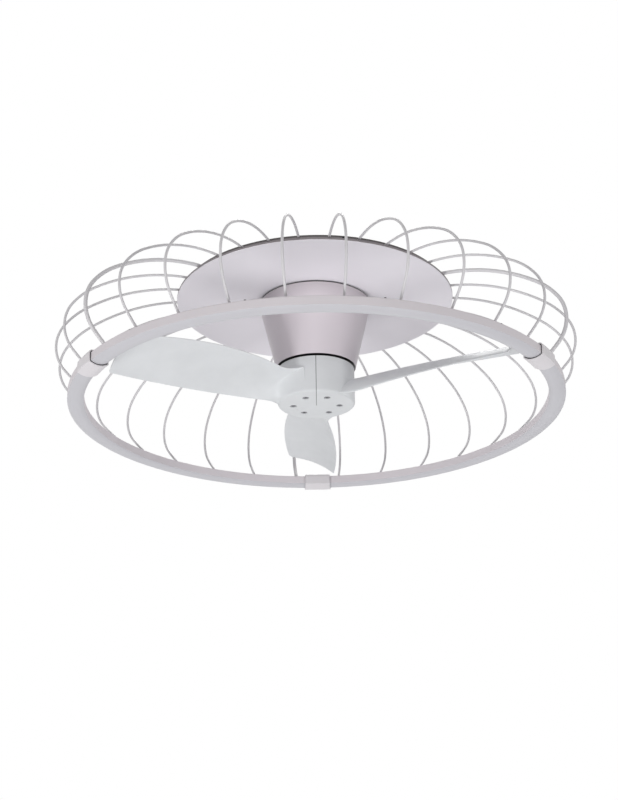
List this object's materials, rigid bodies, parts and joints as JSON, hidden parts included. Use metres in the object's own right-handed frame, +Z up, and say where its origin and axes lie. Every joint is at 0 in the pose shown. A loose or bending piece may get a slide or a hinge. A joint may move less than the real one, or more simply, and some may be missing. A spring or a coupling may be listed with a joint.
{
  "type": "ceiling fan",
  "caption": "Flush ceiling fan: twisted blades turn under a tapered motor housing inside a bent-rod cage that carries a ring light below the canopy.",
  "frame": {"origin": "centre of the canopy's upper face, where it meets the ceiling, on the rotor's axis", "axes": "+Z up along the rotor's axis, towards the ceiling; +X along the line of the two ceiling screws; one blade points along +Y at rest"},
  "size_m": [0.6312, 0.6285, 0.1564],
  "materials": {
    "zinc_steel": "zinc-plated",
    "canopy_paint": "satin powder coat",
    "black_steel": "black oxide",
    "terminal_plastic": "matt",
    "driver_plastic": "fine spark texture",
    "cast_alloy": "as cast",
    "housing_paint": "satin powder coat",
    "bearing_steel": "ground",
    "core_steel": "laminated, varnished",
    "copper_wire": "enamelled",
    "magnet_block": "matt",
    "blade_plastic": "satin",
    "ring_paint": "satin powder coat",
    "diffuser_plastic": "opal",
    "led_alloy": "white board with phosphor chips",
    "rod_paint": "satin powder coat"
  },
  "bodies": {
    "fixture": {"ceiling_bracket": "zinc_steel", "canopy_drum": "canopy_paint", "canopy_plate": "canopy_paint", "canopy_screws": "black_steel", "terminal_block": "terminal_plastic", "driver_box": "driver_plastic", "motor_flange": "cast_alloy", "motor_housing": "housing_paint", "ball_bearings": "bearing_steel", "stator_core": "core_steel", "stator_windings": "copper_wire", "ring_channel_1": "ring_paint", "ring_channel_2": "ring_paint", "ring_channel_3": "ring_paint", "ring_diffuser_1": "diffuser_plastic", "ring_diffuser_2": "diffuser_plastic", "ring_diffuser_3": "diffuser_plastic", "led_boards": "led_alloy", "ring_clip_1": "ring_paint", "ring_clip_2": "ring_paint", "ring_clip_3": "ring_paint", "ring_screws": "black_steel", "cage_rod_01": "rod_paint", "cage_rod_02": "rod_paint", "cage_rod_03": "rod_paint", "cage_rod_04": "rod_paint", "cage_rod_05": "rod_paint", "cage_rod_06": "rod_paint", "cage_rod_07": "rod_paint", "cage_rod_08": "rod_paint", "cage_rod_09": "rod_paint", "cage_rod_10": "rod_paint", "cage_rod_11": "rod_paint", "cage_rod_12": "rod_paint", "cage_rod_13": "rod_paint", "cage_rod_14": "rod_paint", "cage_rod_15": "rod_paint", "cage_rod_16": "rod_paint", "cage_rod_17": "rod_paint", "cage_rod_18": "rod_paint", "cage_rod_19": "rod_paint", "cage_rod_20": "rod_paint", "cage_rod_21": "rod_paint", "cage_rod_22": "rod_paint", "cage_rod_23": "rod_paint", "cage_rod_24": "rod_paint", "cage_rod_25": "rod_paint", "cage_rod_26": "rod_paint", "cage_rod_27": "rod_paint", "feed_tube_1": "rod_paint", "feed_tube_2": "rod_paint", "feed_tube_3": "rod_paint"},
    "rotor": {"rotor_can": "zinc_steel", "rotor_magnets": "magnet_block", "motor_shaft": "bearing_steel", "shaft_clip": "black_steel", "blade_1": "blade_plastic", "blade_2": "blade_plastic", "blade_3": "blade_plastic", "blade_screws": "black_steel"}
  },
  "joints": [
    {"name": "rotor_spin", "type": "hinge", "parent": "fixture", "child": "rotor", "pos_m": [0, 0, -0.12], "axis": [0, 0, 1], "continuous": true}
  ]
}
